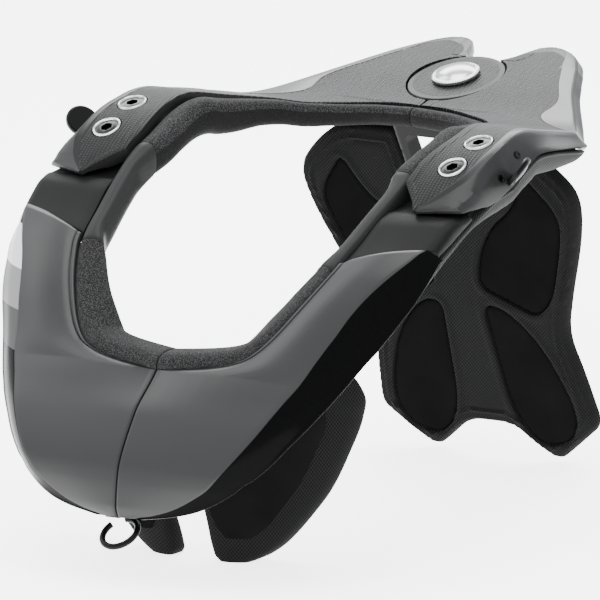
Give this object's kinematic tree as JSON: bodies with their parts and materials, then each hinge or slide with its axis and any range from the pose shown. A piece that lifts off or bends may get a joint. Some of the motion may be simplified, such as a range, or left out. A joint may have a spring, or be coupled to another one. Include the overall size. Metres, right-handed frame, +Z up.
{
  "type": "motocross neck brace",
  "caption": "Stiff padded collar in two swinging halves, with front shells, chest pads, shoulder pads and a leaning back support.",
  "frame": {"origin": "middle of the underside of the box round the brace, where it stands on its pads", "axes": "+Z up, -Y towards the wearer's front, +X towards the wearer's left"},
  "size_m": [0.307, 0.3676, 0.2213],
  "materials": {
    "moulding": "satin",
    "frame": "matt",
    "shell": "satin",
    "foam": "matt",
    "pad": "matt",
    "inset": "matt",
    "metal": "polished",
    "trim": "satin"
  },
  "bodies": {
    "back": {"hub_plate": "moulding", "hub_button": "metal", "spine_bracket": "trim", "back_support": "pad", "back_inset_upper_left": "inset", "back_inset_upper_right": "inset", "back_inset_lower_left": "inset", "back_inset_lower_right": "inset"},
    "left_half": {"wing_left": "moulding", "mid_frame_left": "frame", "front_shell_left": "shell", "foam_rear_left": "foam", "inner_rim_left": "trim", "foam_front_left": "foam", "screw_upper_left": "metal", "screw_lower_left": "metal", "strap_stud_left": "trim", "shoulder_pad_left": "pad", "chest_pad_left": "pad", "chest_panel_left": "inset"},
    "right_half": {"wing_right": "moulding", "mid_frame_right": "frame", "front_shell_right": "shell", "foam_rear_right": "foam", "inner_rim_right": "trim", "foam_front_right": "foam", "screw_upper_right": "metal", "screw_lower_right": "metal", "strap_stud_right": "trim", "shoulder_pad_right": "pad", "chest_pad_right": "pad", "chest_panel_right": "inset", "front_latch": "trim", "pull_ring": "trim"}
  },
  "joints": [
    {"name": "left_swing", "type": "hinge", "parent": "back", "child": "left_half", "pos_m": [0, 0.13278, 0.211], "axis": [0, -0.2351, 0.972], "range_deg": [0, 15]},
    {"name": "right_swing", "type": "hinge", "parent": "back", "child": "right_half", "pos_m": [0, 0.13278, 0.211], "axis": [0, 0.2351, -0.972], "range_deg": [0, 15]}
  ]
}
